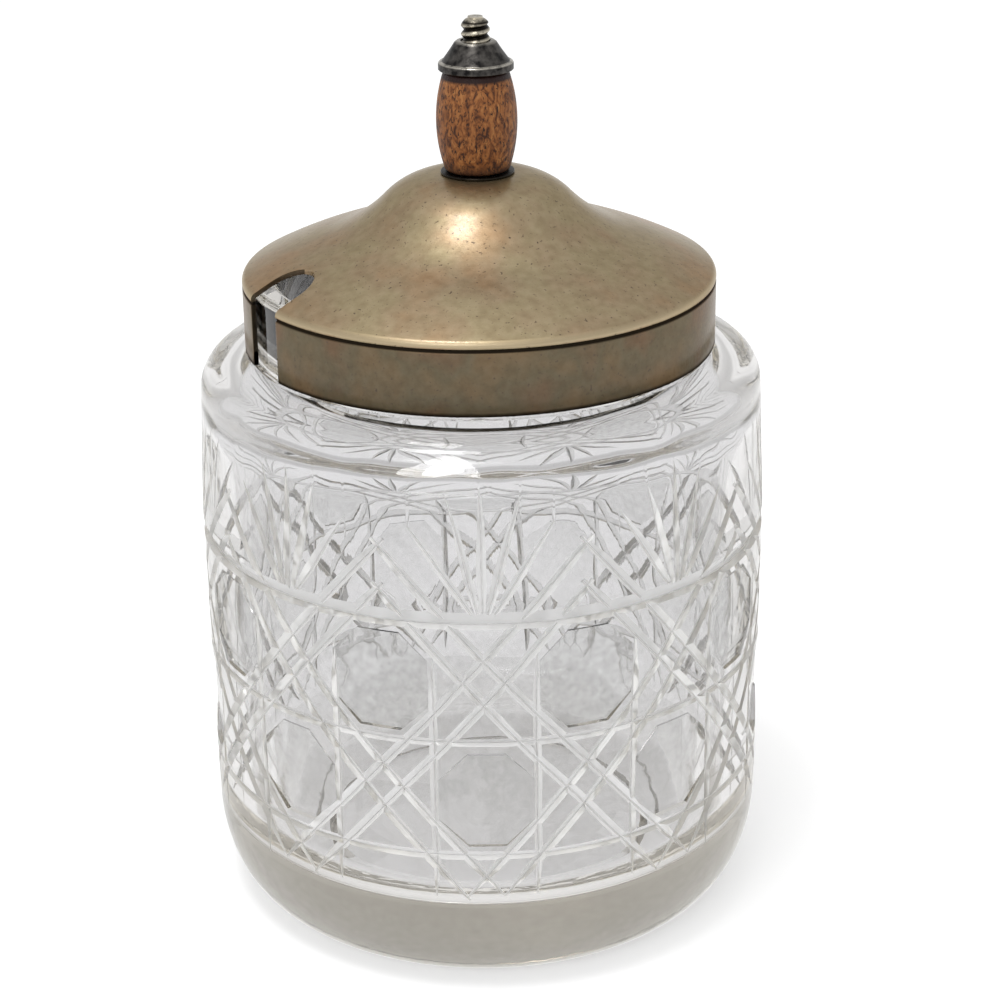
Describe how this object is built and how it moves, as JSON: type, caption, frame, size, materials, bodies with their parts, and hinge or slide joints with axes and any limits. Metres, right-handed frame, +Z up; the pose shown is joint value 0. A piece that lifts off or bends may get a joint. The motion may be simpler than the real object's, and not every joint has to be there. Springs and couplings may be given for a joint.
{
  "type": "sugar jar",
  "caption": "Round cut glass jar with a bell-shaped metal lid that has a spoon slot in its rim and a turned wooden knob clamped by a screw and a conical collar.",
  "frame": {"origin": "centre of the ring the jar stands on, at the table", "axes": "+Z up along the jar's axis, the lid's spoon slot opens towards -X"},
  "size_m": [0.095, 0.095, 0.1508],
  "materials": {
    "cut_glass": "clear, cut and polished",
    "lid_metal": "spun, dulled to an olive tan",
    "washer_steel": "plain",
    "dark_metal": "blackened, rubbed bright on the edges",
    "turned_wood": "oiled, open grained",
    "screw_steel": "zinc plated, dulled"
  },
  "bodies": {
    "jar": {"glass_jar": "cut_glass"},
    "knob": {"wood_barrel": "turned_wood", "base_washer": "dark_metal"},
    "lid": {"lid_shell": "lid_metal", "under_washer": "washer_steel"},
    "collar": {"collar_nut": "dark_metal"},
    "screw": {"knob_screw": "screw_steel"}
  },
  "joints": [
    {"name": "lid_lift", "type": "slide", "parent": "jar", "child": "knob", "axis": [0, 0, 1], "range_m": [0, 0.08]},
    {"name": "lid_turn", "type": "hinge", "parent": "knob", "child": "lid", "pos_m": [0, 0, 0.125], "axis": [0, 0, 1], "continuous": true},
    {"name": "collar_rise", "type": "slide", "parent": "knob", "child": "collar", "axis": [0, 0, 1], "range_m": [0, 0.0087]},
    {"name": "screw_turn", "type": "hinge", "parent": "knob", "child": "screw", "pos_m": [0, 0, 0.12], "axis": [0, 0, -1], "range_deg": [0, 2160]}
  ],
  "couplings": [
    {"joint": "screw_turn", "follows": "collar_rise", "rad_per_m": 4333.2}
  ]
}
